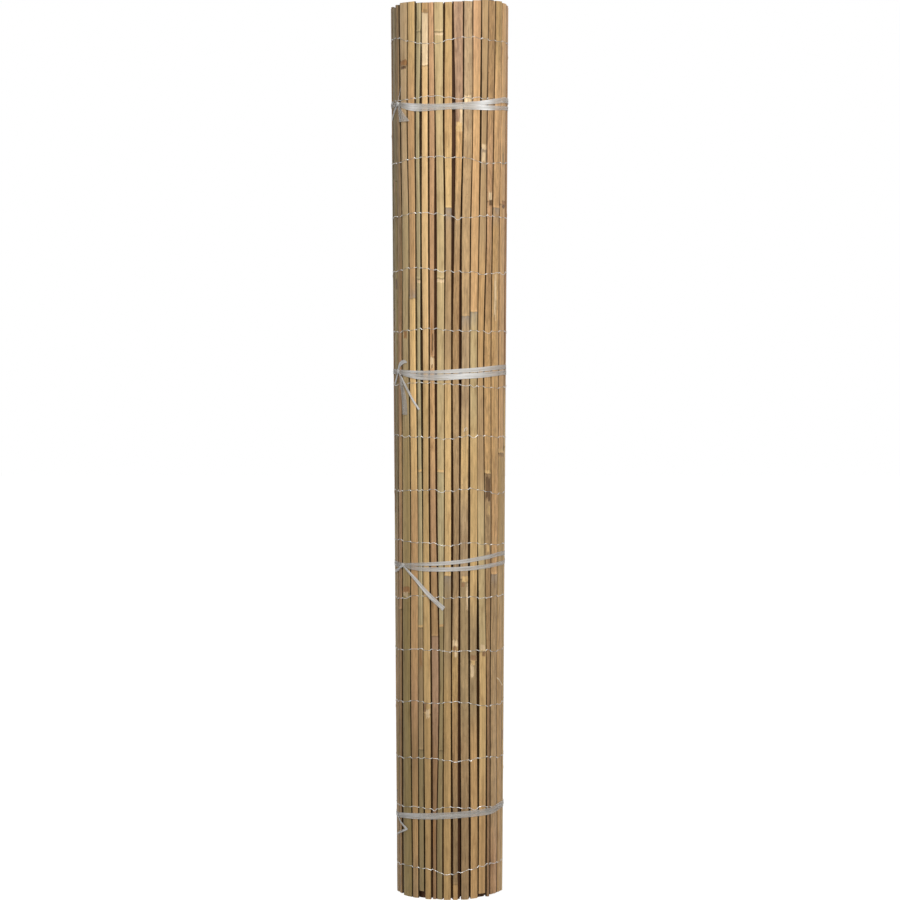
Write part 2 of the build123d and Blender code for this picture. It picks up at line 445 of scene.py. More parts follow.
def hidden_look(index):
    """The look of a slat that is turned away from the front, different for each."""
    draw = random.Random(index)
    stretches = []
    nodes = []
    chips = []
    blooms = []
    height = mat_height / MM - draw.uniform(head_stretch_least, stretch_most)
    while height > stretch_least / 2:
        stretches.append((draw.choice(hidden_tones), round(height)))
        nodes.append(round(height))
        if draw.random() < hidden_chip_part:
            left = draw.uniform(*hidden_chip_lefts)
            right = left + draw.uniform(*hidden_chip_widths)
            length = draw.uniform(*hidden_chip_lengths)
            tone = draw.choice(hidden_chip_tones)
            chips.append(Chip(height + hidden_chip_rise, length, left, right, tone))
        if draw.random() < hidden_bloom_part:
            blooms.append((round(height), draw.uniform(*hidden_bloom_lengths)))
        height -= draw.uniform(stretch_least, stretch_most)
    stretches.append((draw.choice(hidden_tones), 0))
    wear_and_glint = draw.uniform(*hidden_wears)
    return Look(tuple(stretches), tuple(nodes), tuple(chips), tuple(blooms), wear_and_glint)


def look_of(index):
    """The look of a slat of the outer turn."""
    return front_looks[index - slats_before_front] if is_front(index) else hidden_look(index)


class Shape:
    """Points and faces gathered for one piece. Each point has a tone, a place in the grain and a wear,
    which on tape is a painted glint's strength.
    """

    def __init__(self):
        self.points = []
        self.tones = []
        self.grains = []
        self.wears_and_glints = []
        self.faces = []
        self.finishes = []

    def add_point(self, place, tone=(1.0, 1.0, 1.0), grain=(0.0, 0.0, 0.0), wear_and_glint=0.0):
        self.points.append(place)
        self.tones.append(tone)
        self.grains.append(grain)
        self.wears_and_glints.append(wear_and_glint)

    def add_face(self, corners, finish=0):
        self.faces.append(corners)
        self.finishes.append(finish)

    def skin(self, first, ring_size, ring_count, finish=0, end_finish=0, closed_ends=True):
        """Faces between rings that were added one after another, and over the two end rings."""
        for ring in range(ring_count - 1):
            low = first + ring * ring_size
            high = low + ring_size
            for here in range(ring_size):
                after = (here + 1) % ring_size
                self.add_face((low + here, low + after, high + after, high + here), finish)
        if closed_ends:
            last = first + (ring_count - 1) * ring_size
            self.add_face(tuple(range(first + ring_size - 1, first - 1, -1)), end_finish)
            self.add_face(tuple(range(last, last + ring_size)), end_finish)


sharp_angle = math.radians(50)


def make_piece(name, shape, finishes, nodes):
    """A piece of the object that stands for some nodes and takes a slot's finish."""
    mesh = bpy.data.meshes.new(name)
    mesh.from_pydata(shape.points, [], shape.faces)
    for finish in finishes:
        mesh.materials.append(finish)
    mesh.polygons.foreach_set("material_index", shape.finishes)
    tone = mesh.attributes.new("tone", "FLOAT_COLOR", "POINT")
    tone.data.foreach_set("color", [part for colour in shape.tones for part in (*colour, 1.0)])
    grain = mesh.attributes.new("grain", "FLOAT_VECTOR", "POINT")
    grain.data.foreach_set("vector", [part for place in shape.grains for part in place])
    mesh.attributes.new("wear_and_glint", "FLOAT", "POINT").data.foreach_set("value", shape.wears_and_glints)
    mesh.shade_smooth()
    mesh.set_sharp_from_angle(angle=sharp_angle)
    mesh.update()
    piece = bpy.data.objects.new(name, mesh)
    bpy.context.scene.collection.objects.link(piece)
    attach(piece, "root")
    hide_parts(*nodes)
    return piece


# The section of an outer slat: a crowned face with rounded edges
face_steps = 18
edge_drop = 1.3
edge_power = 10
station_step = 24 * MM
node_swell = 0.5 * MM
node_reach = 3.0 * MM
node_steps = (-8, -5, -3.4, -2.4, -1.6, -0.8, 0, 0.8, 1.6, 2.4, 3.4, 5, 8)
node_tilt = 1.6
tone_blend = 50
node_blend = 1.2
chip_step = 1.1
chip_sink = 0.45 * MM
chip_ragged = 0.5
bloom_tone = (0.40, 0.335, 0.27)
bloom_cover = 0.75
bloom_mean = 0.8
bloom_swing = 0.6
bloom_beat_across = 4
bloom_beat_along = 0.12
# Painted shade: the slats darken towards their edges, and their flanks that face the gaps are dark
edge_shade = 0.2
# Painted shade on the inner turns, darkened with a red-brown cast for how deep they lie in the gaps
inner_shade = (0.17, 0.11, 0.08)
out_wander = 0.25 * MM
out_beat = 4.3
stray_beat = 2.3
# Painted shade in the groove below each node and a painted highlight on the ridge above it
node_groove = 0.4
groove_below = 0.6
node_shine = 0.14
shine_above = 2.2
shine_reach = 1.2
tilt_beat = 2.2
tilt_span = 60
tilt_seed = 2.9
chip_jag_beat = 11
chip_shift = 0.06
chip_shift_beat = 0.11
chip_end_blur = 0.7
chip_side_blur = 0.04
chip_end_seed = 3.3
chip_height_seed = 0.37
chip_slat_seed = 3.3
edge_start = 0.93
end_slant_most = 0.6 * MM
end_slant_beat = 4.1
grain_step = 0.37

# The noise is read far apart for each slat and for each thing that wanders
slat_seed = 7.31
wander_seed = 101.7
wander_level = 3.7
STRAY_LEFT, STRAY_RIGHT, STRAY_OUT = 4, 5, 2


def face_section():
    """The points across a slat's face: shares of its half width, and rises in crowns."""
    sides = [math.sin(math.pi / 2 * (2 * step / face_steps - 1)) for step in range(face_steps + 1)]
    return [(side, 1 - side**2 - edge_drop * side**edge_power) for side in sides]


face_profile = face_section()


def slow_noise(index, height, beat, which):
    """A slow wander along a slat, from -1 to 1."""
    seed = index * slat_seed + which * wander_seed
    return noise.noise(Vector((seed, height * beat, which * wander_level)))


def through(points, place):
    """A smooth line through points of (place, *values), read at a place."""
    index = next((i for i, point in enumerate(points[1:]) if point[0] >= place), len(points) - 2)
    here, there = points[index], points[index + 1]
    before, after = points[max(index - 1, 0)], points[min(index + 2, len(points) - 1)]
    span = there[0] - here[0]
    share = (place - here[0]) / span
    values = []
    for value in range(1, len(here)):
        slope_here = (there[value] - before[value]) / (there[0] - before[0]) * span
        slope_there = (after[value] - here[value]) / (after[0] - here[0]) * span
        rise = there[value] - here[value]
        bend_here = slope_here - rise
        bend_there = rise - slope_there
        curve = share * (1 - share) * (bend_here * (1 - share) + bend_there * share)
        values.append(here[value] + rise * share + curve)
    return values


def edge_strays(index, height):
    """How far a slat's left and right edges stray round the roll at a height."""
    if is_front(index):
        level = min(max(height / MM, edge_heights[0]), edge_heights[-1])
        left, right = front_edges[index - slats_before_front]
        return [stray * MM for stray in through(list(zip(edge_heights, left, right)), level)]
    which_edges = (STRAY_LEFT, STRAY_RIGHT)
    return [hidden_stray * slow_noise(index, height, stray_beat, which) for which in which_edges]


def face_at(index, height):
    """The frame of a slat at a height, with its edges where they stray to."""
    slat = slats[index]
    left, right = edge_strays(index, height)
    start = slat.start + left / crest_radius(slat.start)
    return SlatFace(Slat(start, slat.end + right / crest_radius(slat.end)))


def stations(look, foot, head):
    """The heights of the rings along a slat, closer together at its nodes and chips."""
    heights = {foot, head}
    count = round((head - foot) / station_step)
    heights.update(foot + (head - foot) * step / count for step in range(1, count))
    for node in look.nodes:
        heights.update((node + step) * MM for step in node_steps)
    for chip in look.chips:
        steps = round(chip.length * (1 + chip_ragged) / chip_step)
        low = chip.height - chip.length * (1 + chip_ragged) / 2
        heights.update((low + chip_step * step) * MM for step in range(steps + 1))
    return sorted(height for height in heights if foot <= height <= head)


def ease(value, low, high):
    """A smooth step from 0 to 1 as a value goes from low to high."""
    share = min(max((value - low) / (high - low), 0.0), 1.0)
    return share * share * (3 - 2 * share)


def stretch_tone(look, level):
    """The tone of a slat's skin: it changes at once at a node, and slowly elsewhere."""
    colour = Vector(tones[look.stretches[-1][0]])
    for name, end in reversed(look.stretches[:-1]):
        blend = node_blend if end in look.nodes else tone_blend
        colour = colour.lerp(Vector(tones[name]), ease(level, end - blend, end + blend))
    return colour


def node_shade(look, level):
    """How the ring at a node is painted: painted shade in the groove below it and a painted highlight on
    its ridge.
    """
    shade = 1.0
    for node in look.nodes:
        above = level - node
        shade -= node_groove * math.exp(-((above + groove_below) ** 2))
        shade += node_shine * math.exp(-(((above - shine_above) / shine_reach) ** 2))
    return shade


def chip_cover(chip, level, share, index):
    """How much of a chip there is at a place on a slat: straight along the grain, jagged at its ends."""
    above = level - chip.height
    end = 1 if above > 0 else -1
    jag_place = (share * chip_jag_beat + index, end * chip_end_seed, chip.height * chip_height_seed)
    jag = noise.noise(Vector(jag_place))
    half_length = chip.length / 2 * (1 + chip_ragged * jag)
    shift_place = (index * chip_slat_seed, level * chip_shift_beat, chip.height)
    shift = chip_shift * noise.noise(Vector(shift_place))
    off_middle = abs(share - shift - (chip.left + chip.right) / 2)
    half_width = (chip.right - chip.left) / 2
    along = 1 - ease(abs(above), half_length - chip_end_blur, half_length + chip_end_blur)
    return along * (1 - ease(off_middle, half_width - chip_side_blur, half_width + chip_side_blur))


def bloom_at(look, level, share, index):
    """How much grey wax lies on the skin near a node."""
    cover = 0.0
    for node, length in look.blooms:
        away = (node - level) / length
        if 0 < away < 1:
            place = Vector((share * bloom_beat_across, level * bloom_beat_along, index))
            patchy = bloom_mean + bloom_swing * noise.noise(place)
            cover = max(cover, bloom_cover * (1 - away) * patchy)
    return min(cover, 1.0)


def skin_at(look, level, share, index):
    """The skin's tone and how far it has sunk at a place on a slat's face."""
    tilt_place = (index * tilt_seed, share * tilt_beat, round(level / tilt_span))
    level += node_tilt * noise.noise(Vector(tilt_place))
    tone = stretch_tone(look, level) * node_shade(look, level)
    tone = tone.lerp(Vector(bloom_tone), bloom_at(look, level, share, index))
    sunk = 0.0
    for chip in look.chips:
        cover = chip_cover(chip, level, share, index)
        tone = tone.lerp(Vector(tones[chip.tone]), cover)
        sunk = max(sunk, cover * chip_sink)
    return tone, sunk


def swelling(look, height):
    """How far a slat's face stands out at a height, for the ridges at its nodes."""
    return sum(node_swell * math.exp(-(((height - node * MM) / node_reach) ** 2)) for node in look.nodes)


def add_outer_slat(shape, index):
    """One slat of the outer turn, with its crowned face, its nodes and its chips."""
    width = SlatFace(slats[index]).width
    look = look_of(index)
    foot, head = slat_ends(index)
    heights = stations(look, foot, head)
    first = len(shape.points)
    back_inset = slat_side_lean / width
    end_slant = end_slant_most * math.sin(index * end_slant_beat)
    for height in heights:
        face = face_at(index, height)
        outwards = out_wander * slow_noise(index, height, out_beat, STRAY_OUT)
        ridge = swelling(look, height)
        slant = end_slant if height in (heights[0], heights[-1]) else 0.0
        ring = []
        for side, rise in face_profile:
            share = (1 + side) / 2
            tone, sunk = skin_at(look, height / MM, share, index)
            # Painted shade darkens the face towards its edges, and the flanks that face the gaps
            edge = ease(abs(side), edge_start, 1.0)
            ring.append((share, rise * slat_crown + ridge - sunk, tone * (1 - (1 - edge_shade) * edge)))
        flank = stretch_tone(look, height / MM) * edge_shade
        ring.append((1 - back_inset, -slat_thickness, flank))
        ring.append((back_inset, -slat_thickness, flank))
        for share, depth, tone in ring:
            level = max(height + slant * (share - 0.5), 0.0)
            grain = ((share - 0.5) * width, height, index * grain_step)
            shape.add_point(face.point(share, depth + outwards, level), tone, grain, look.wear_and_glint)
    shape.skin(first, len(face_profile) + 2, len(heights), 0, 1)


inner_foot_rises = (0, 2.5)
inner_head_rises = (-3.0, 1.5)
second_head_rises = (-0.6, 1.4)
inner_wear = 0.6
inner_edge = 0.12
inner_edge_drop = 0.5 * MM
inner_side_lean = 0.05
inner_rings = (0.33, 0.67)


def head_of_inner(index, draw):
    """The height of an inner slat's head, which follows the outer slat before it on the second turn."""
    middle = (slats[index].start + slats[index].end) / 2 - math.tau
    if middle > math.tau:
        return mat_height + draw.uniform(*inner_head_rises) * MM
    away = [abs((slat.start + slat.end) / 2 - middle) for slat in slats[:outer_count]]
    nearest = away.index(min(away))
    return slat_ends(nearest)[1] + draw.uniform(*second_head_rises) * MM


def add_inner_slat(shape, index):
    """One slat of the inner turns, seen in the gaps and at its two ends."""
    face = SlatFace(slats[index])
    draw = random.Random(index * 3 + 1)
    foot = draw.uniform(*inner_foot_rises) * MM
    head = head_of_inner(index, draw)
    # The inner slats' tones are darkened by painted shade, as they are seen deep in the gaps
    tone = Vector(tones[draw.choice(hidden_tones)]) * Vector(inner_shade)
    section = (
        (0.0, -inner_edge_drop), (inner_edge, 0.0), (0.5, slat_crown / 2),
        (1 - inner_edge, 0.0), (1.0, -inner_edge_drop),
        (1 - inner_side_lean, -slat_thickness), (inner_side_lean, -slat_thickness),
    )
    first = len(shape.points)
    heights = (foot, *(mat_height * share for share in inner_rings), head)
    for height in heights:
        for share, depth in section:
            grain = ((share - 0.5) * face.width, height, index * grain_step)
            shape.add_point(face.point(share, depth, height), tone, grain, inner_wear)
    shape.skin(first, len(section), len(heights), 0, 1)


# A long splinter that has sprung from a slat at the right of the front
splinter_slat = slats_before_front + 15
splinter_line = ((55, 371, 0.3), (58, 367, 1.0), (61, 362, 1.5), (64, 357, 1.8))
splinter_radius = 0.8 * MM
splinter_sides = 5
splinter_tone = (0.95, 0.78, 0.52)


def add_splinter(shape):
    """The sprung splinter, along places in degrees, mm and mm off the slat."""
    path = []
    for degrees, height, lift in splinter_line:
        angle = math.radians(degrees)
        radius = roll_top_radius * narrowing(height * MM) + lift * MM
        place = Vector((radius * math.sin(angle), -radius * math.cos(angle), height * MM))
        path.append((place, splinter_tone))
    add_tube(shape, path, splinter_radius, splinter_sides)


outer_parts = 5


def make_outer_turn(skin_finish, end_finish):
    """The outer turn's slats, in a few pieces round the roll."""
    for part in range(outer_parts):
        shape = Shape()
        for index in range(part * outer_count // outer_parts, (part + 1) * outer_count // outer_parts):
            add_outer_slat(shape, index)
            if index == splinter_slat:
                add_splinter(shape)
        finishes = (skin_finish, end_finish)
        make_piece(f"outer_slats_{part + 1}", shape, finishes, ["bamboo_mat_roll"])


def make_inner_turns(inner_finish, end_finish):
    """All the turns inside the outer one."""
    shape = Shape()
    for index in range(outer_count, len(slats)):
        add_inner_slat(shape, index)
    make_piece("inner_turns", shape, (inner_finish, end_finish), ["bamboo_mat_roll"])


# The wire rows: two strands that pass in front of each slat and behind it, twisted in the gaps
wire_rows = 16
strand_radius = 0.3 * MM
strand_sides = 5
twist_radius = 0.5 * MM
twist_depth = 0.25 * MM
twist_steps = 7
row_drift = 3.0 * MM
drift_beat = 0.21
drift_seed = 5.3
drift_level = 1.7
# The strands' tones: painted shade where a strand lies on a slat's face, and painted glints near the slats'
# edges, in the twists and where a strand stands off
shaded_zinc = 0.3
glinting_zinc = 1.0
glint_share = 0.12
edge_rise = 0.3 * MM
strand_seat = 0.7
strand_behind = (0.1, 0.9)
strand_over = (
    (0.03, 0.0), (glint_share, 0.6), (0.25, 0.8), (0.5, 1.0),
    (0.75, 0.8), (1 - glint_share, 0.6), (0.97, 0.0),
)
loose_part = 0.25
loose_sags = (-2.0, 4.0)
loose_lifts = (0.2, 1.2)
tight_sags = (-0.6, 0.8)
lifted_sag = 1.0 * MM
gap_jumps = (0.6, 2.6)
row_reach = 12 * MM
wave_start = 66

# How far each row wanders across the front, in mm at angles in degrees, the lowest row first
wave_angles = (-66, -40, -18, -2, 17, 37, 62)
row_waves = (
    (-2, -2, -4, -11, -5, 2, 2), (-4, -1, -2, 2, 0, -1, -2),
    (-6, -1, -1, -4, -5, 0, -5), (-4, 1, -1, 1, 1, -7, -7),
    (-5, -1, 0, -2, -2, -2, -6), (-5, 2, 2, 0, 2, -1, 0),
    (2, 0, -1, -5, 0, -2, -6), (-2, 0, 2, -1, 4, 0, -7),
    (1, 0, -1, -4, 2, 2, -2), (0, 4, 4, 2, 1, -2, -5),
    (-1, 2, 5, 1, 1, 0, 0), (2, 7, 4, 0, 0, -4, -1),
    (2, 6, 6, 1, -2, 3, 1), (-2, 4, 6, 5, 4, -4, -1),
    (0, 1, 5, 1, 1, 2, 0), (9, -1, -5, 0, 7, 3, 3),
)
wave_end = 110

# The rows whose front strand stands off the slat at the right of the front, and a curl of loose wire
lifted_slat = slats_before_front + 16
lifted_heights = (1065, 955, 868, 779)
lifted_by = 2.2 * MM
curl_height = 779
curl_line = (
    (13.0, 9.0, 1.0), (13.4, 13.0, 2.0), (14.4, 16.0, 2.6),
    (15.7, 15.4, 2.4), (16.0, 12.6, 1.8), (15.0, 10.6, 1.2),
)


def row_middle(row):
    """The height of the middle of a wire row, counted from the lowest."""
    low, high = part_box(f"weave_wire_{row + 1:02d}")
    return (low[2] + high[2]) / 2


row_heights = [row_middle(row) for row in range(wire_rows)]


def is_row_at(row, height):
    """Whether a row is the one at a height in mm."""
    return abs(row_heights[row] - height * MM) < row_reach


def gap_height(row, index):
    """The height at which a row's wires twist in the gap before a slat."""
    slat = slats[min(index, outer_count - 1)]
    degrees = math.degrees(free_edge_angle + (slat.start if index < outer_count else slat.end))
    degrees = (degrees + 180) % 360 - 180
    points = [(-wave_end, 0), *zip(wave_angles, row_waves[row]), (wave_end, 0)]
    wave = through(points, degrees)[0] * MM if abs(degrees) < wave_end else 0.0
    hidden = row_drift * noise.noise(Vector((index * drift_beat, row * drift_seed, drift_level)))
    return row_heights[row] + wave + hidden * ease(abs(degrees), wave_start, wave_end)


def gap_jump(row, index):
    """How much higher the wires leave the gap before a slat than they came to it."""
    draw = random.Random(row * 101 + index)
    return draw.choice((-1, 1)) * draw.uniform(*gap_jumps) * MM


def span_slack(row, index):
    """How far the front strand hangs and stands off over a slat."""
    draw = random.Random(row * 211 + index * 7 + 5)
    if index == lifted_slat and any(is_row_at(row, height) for height in lifted_heights):
        return lifted_sag, lifted_by
    if draw.random() < loose_part:
        return draw.uniform(*loose_sags) * MM, draw.uniform(*loose_lifts) * MM
    return draw.uniform(*tight_sags) * MM, 0.0


def strand_path(row, behind):
    """The line of one strand of a row, as places and tones that paint glints and shade, from the free edge
    round the outer turn.
    """
    path = []
    phase = math.pi if behind else 0.0
    for index in range(outer_count):
        start = gap_height(row, index) + gap_jump(row, index) / 2
        end = gap_height(row, index + 1) - gap_jump(row, index + 1) / 2
        face = face_at(index, (start + end) / 2)
        sag, lift = span_slack(row, index)
        if behind:
            over = [(share, -slat_thickness - strand_radius) for share in strand_behind]
        else:
            crest = slat_crown + strand_radius * strand_seat
            over = [(share, crest * rise + edge_rise * (rise == 0)) for share, rise in strand_over]
        for share, depth in over:
            bow = 4 * share * (1 - share)
            slack = 0.0 if behind else 1.0
            height = start + (end - start) * share - sag * bow * slack
            # Painted glint where the strand stands off or nears a slat's edge, painted shade over the face
            shine = glinting_zinc if lift or not glint_share < share < 1 - glint_share else shaded_zinc
            path.append((face.point(share, depth + lift * bow * slack, height), (shine, shine, shine)))
        if index == outer_count - 1:
            break
        next_start = gap_height(row, index + 1) + gap_jump(row, index + 1) / 2
        left = face.point(1, 0, end)
        right = face_at(index + 1, next_start).point(0, 0, next_start)
        out = Vector((left.x, left.y, 0)).normalized()
        # The twists in the gaps are painted as glints
        for step in range(twist_steps):
            share = (step + 0.5) / twist_steps
            turn = phase + math.tau * share
            place = left.lerp(right, share) + out * (twist_radius * math.cos(turn) - twist_depth)
            place.z += twist_radius * math.sin(turn)
            path.append((place, (glinting_zinc, glinting_zinc, glinting_zinc)))
    return path


def add_tube(shape, path, radius, sides):
    """A round wire along a path, closed at both ends."""
    first = len(shape.points)
    for step, (place, tone) in enumerate(path):
        before = path[max(step - 1, 0)][0]
        after = path[min(step + 1, len(path) - 1)][0]
        along = (after - before).normalized()
        out = Vector((place.x, place.y, 0)).normalized()
        out = (out - along * out.dot(along)).normalized()
        side = along.cross(out)
        for corner in range(sides):
            angle = math.tau * corner / sides
            shape.add_point(place + (out * math.cos(angle) + side * math.sin(angle)) * radius, tone)
    shape.skin(first, sides, len(path))


def curl_path(row):
    """The loose curl of wire, along places in degrees, mm above its row and mm off the slats."""
    path = []
    for degrees, rise, lift in curl_line:
        angle = math.radians(degrees)
        height = row_heights[row] + rise * MM
        radius = roll_top_radius * narrowing(height) + lift * MM
        place = Vector((radius * math.sin(angle), -radius * math.cos(angle), height))
        # The loose curl is painted as a glint all along
        path.append((place, (glinting_zinc, glinting_zinc, glinting_zinc)))
    return path


def make_wire_row(row, finish):
    """A row of two strands of wire."""
    shape = Shape()
    for behind in (False, True):
        add_tube(shape, strand_path(row, behind), strand_radius, strand_sides)
    if is_row_at(row, curl_height):
        add_tube(shape, curl_path(row), strand_radius, strand_sides)
    node = f"weave_wire_{row + 1:02d}"
    make_piece(f"woven_wire_{row + 1:02d}", shape, (finish,), [node])


class Tie(NamedTuple):
    """A tape wound twice round the roll. Angles are in degrees, heights and widths in mm.

    A place on a pass or a tail is an angle, a height and the tape's width. A place on a fan, which is
    a tail torn wide, is its two edges' angles and a height. A glint is a patch of painted white
    highlight: an angle, half a width in degrees and a strength.
    """

    knot: tuple
    passes: tuple
    tails: tuple
    fans: tuple = ()
    glints: tuple = ()


ties = (
    Tie((-62, 1335), (
        ((-36, 1331.3, 5), (-8, 1329.6, 6), (28, 1334, 7), (45, 1337.6, 8.5), (71, 1343, 9.5),
         (180, 1338, 7)),
        ((-36, 1326, 10), (0, 1326.7, 7.5), (39, 1327, 8), (71, 1329.5, 7), (180, 1331, 7)),
    ), (
        ((-62, 1335, 3), (-70, 1325, 6), (-79, 1311, 7)),
        ((-62, 1336, 1.5), (-59, 1350, 1.2), (-56, 1365, 0.8)),
    ), (
        ((-62.5, -61, 1336), (-61, -53.5, 1322), (-59.5, -43, 1305)),
    ), ((-42, 9, 1.0), (35, 11, 1.0))),
    Tie((-65, 887), (
        ((-27, 886.7, 5), (19, 890, 7), (70, 894.4, 8), (180, 890, 7)),
        ((-27, 878.3, 9.5), (19, 880.7, 9.5), (70, 885, 8), (180, 882, 7)),
    ), (
        ((-65, 888, 4), (-61, 899, 7), (-54, 904, 6), (-49, 903, 2)),
        ((-65, 888, 3), (-52, 865, 5), (-41, 840, 4.5), (-33, 824, 4)),
        ((-65, 887, 5), (-73, 866, 8)),
    ), (
        ((-62, -59, 882), (-58.1, -50.5, 845), (-56.6, -48.4, 815)),
    ), ((14, 30, 0.8), (-42, 12, 0.7))),
    Tie((-58, 561), (
        ((-28, 565, 6), (10, 570, 6.5), (40, 576, 7), (70, 579.5, 7), (180, 570, 7)),
        ((-28, 556.8, 7), (20, 558.7, 7), (70, 563.6, 7), (180, 560, 7)),
    ), (
        ((-58, 561, 3), (-40, 541, 6), (-22, 513, 7.5), (-7, 491, 8)),
        ((-58, 561, 4), (-68, 553, 5), (-80, 548, 5)),
    ), (), ((0, 34, 0.45),)),
    Tie((-78, 134), (
        ((-29, 142, 7), (20, 147, 7), (50, 149, 7), (70, 154, 7), (180, 145, 7)),
        ((-29, 138.5, 7), (20, 143, 7), (50, 144.5, 7), (70, 149.5, 7), (180, 142, 7)),
    ), (
        ((-77, 133, 4), (-65, 123, 3.7), (-52.7, 114, 3.7)),
        ((-52.7, 115, 3.7), (-66, 107, 3.7), (-79, 99.6, 3.7)),
    ), (), ((-52, 26, 0.5),)),
)
tape_shares = (-1.0, -0.75, -0.5, -0.25, 0.0, 0.25, 0.5, 0.75, 1.0)
tape_gauge = 0.12 * MM
tape_lift = 0.2 * MM
layer_lift = 0.28 * MM
wire_lift = 0.75 * MM
wire_near = 5 * MM
wire_far = 11 * MM
pleat_depth = 0.22 * MM
pass_step = 2
knot_width = 4.5
knot_rings = 9
knot_sides = 18
knot_size = (4.2, 1.8, 3.4)
knot_lift = 0.8 * MM
# Painted white glints on the knot and along the tails
knot_glint = 0.6
tail_glints = ((-45, 40, 0.8),)
loop_seats = ((0.08, 0.1), (0.5, 1.0), (0.92, 0.1))
fold_across, fold_along, fold_seed = 2.6, 22, 1.7
crease_share, crease_across, crease_along = 0.5, 6.1, 45
tail_steps = 10
knot_dent = 0.28
knot_dent_beat = 2.6
knot_seed = 9.1
knot_pleat = 0.16
knot_pleat_beats = (7, 3)
pass_seed, tail_seed, fan_seed = 2.3, 5.1, 7.7
tail_layers = 2
tail_layer_step = 0.4
fan_layers = 4


def half_loop(points):
    """The corners that a line keeps when it is pulled tight round one side of some points."""
    kept = []
    for point in points:
        while len(kept) > 1 and (kept[-1] - kept[-2]).cross(point - kept[-1]) <= 0:
            kept.pop()
        kept.append(point)
    return kept[:-1]


def tight_loop():
    """The corners of a tape pulled tight round the outer turn's crowns, in the top section."""
    points = []
    for slat in slats[:outer_count]:
        face = SlatFace(slat)
        for share, rise in loop_seats:
            place = face.left + face.across * (share * face.width)
            points.append(place + face.outward * (rise * slat_crown))
    points.sort(key=lambda point: (point.x, point.y))
    return half_loop(points) + half_loop(points[::-1])


loop = tight_loop()


def loop_radius(angle):
    """How far out the tight loop lies at an angle from the front, at the roll's top."""
    ray = Vector((math.sin(angle), -math.cos(angle)))
    for here, there in zip(loop, loop[1:] + loop[:1]):
        if here.cross(ray) * ray.cross(there) >= 0 and ray.dot(here) > 0 and ray.dot(there) > 0:
            return here.cross(there) / ray.cross(there - here)
    raise ValueError("no side of the loop lies at that angle")


def on_loop(angle, height, lift):
    """A point on the tight loop at an angle and a height, lifted off the slats and any wires."""
    to_wire = min(abs(height - row) for row in row_heights)
    lift += wire_lift * (1 - ease(to_wire, wire_near, wire_far))
    radius = loop_radius(angle) * narrowing(height) + lift
    return Vector((radius * math.sin(angle), -radius * math.cos(angle), height))


def glint_at(glints, degrees):
    """How strong the film's painted white glint is at an angle, from patches of (degrees, half their width,
    strength).
    """
    degrees = (degrees + 180) % 360 - 180
    shines = [strength * math.exp(-(((degrees - middle) / half) ** 2)) for middle, half, strength in glints]
    return max(shines, default=0.0)


def add_film(shape, rows, lift, seed, glints=()):
    """A creased sheet of film along rows of two edge places, each in degrees and mm."""
    first = len(shape.points)
    travelled = 0.0
    last = rows[0]
    for left, right in rows:
        run = (math.radians(left[0] + right[0] - last[0][0] - last[1][0]) * roll_top_radius / 2,
               (left[1] + right[1] - last[0][1] - last[1][1]) * MM / 2)
        travelled += math.hypot(*run)
        last = (left, right)
        width = math.hypot(math.radians(right[0] - left[0]) * roll_top_radius, (right[1] - left[1]) * MM)
        front, back = [], []
        for share in tape_shares:
            degrees = left[0] + (right[0] - left[0]) * (share + 1) / 2
            level = (left[1] + (right[1] - left[1]) * (share + 1) / 2) * MM
            fold_place = (share * fold_across + seed, travelled * fold_along, seed * fold_seed)
            crease_place = (share * crease_across, travelled * crease_along + seed, seed)
            fold = noise.noise(Vector(fold_place)) + crease_share * noise.noise(Vector(crease_place))
            rise = lift + pleat_depth * (1 + fold)
            # Each point keeps its place in the grain and the strength of its painted white glint
            marks = ((share * width / 2, travelled, seed), glint_at(glints, degrees))
            front.append((on_loop(math.radians(degrees), level, rise + tape_gauge), marks))
            back.append((on_loop(math.radians(degrees), level, rise), marks))
        for place, (grain, glint) in front + back[::-1]:
            shape.add_point(place, (1.0, 1.0, 1.0), grain, glint)
    shape.skin(first, 2 * len(tape_shares), len(rows))


def tape_edges(line):
    """The two edges of a tape along a line of (degrees, mm, mm wide)."""
    rows = []
    for step, (degrees, height, width) in enumerate(line):
        before = line[max(step - 1, 0)]
        after = line[min(step + 1, len(line) - 1)]
        across = math.radians(after[0] - before[0]) * roll_top_radius
        run = Vector((across, (after[1] - before[1]) * MM)).normalized()
        turn = math.degrees(run.y * width * MM / 2 / roll_top_radius)
        rise = run.x * width / 2
        rows.append(((degrees + turn, height - rise), (degrees - turn, height + rise)))
    return rows


def pass_line(tie, number):
    """One turn of tape from the knot round the back of the roll to the knot again."""
    angle, height = tie.knot
    shift = (1.0, -1.0)[number] * knot_width / 3
    middle = [(point[0] - 360, *point[1:]) if point[0] > angle else point for point in tie.passes[number]]
    ends = [(angle - 360, height + shift, knot_width), (angle, height + shift, knot_width)]
    points = sorted(middle + ends)
    count = round(360 / pass_step)
    places = [angle - 360 + 360 * step / count for step in range(count + 1)]
    return [(place, *through(points, place)) for place in places]


def tail_line(tail):
    """A loose end of tape, smoothed between its given places."""
    points = [(float(number), *place) for number, place in enumerate(tail)]
    steps = tail_steps * (len(tail) - 1)
    return [tuple(through(points, step / tail_steps)) for step in range(steps + 1)]


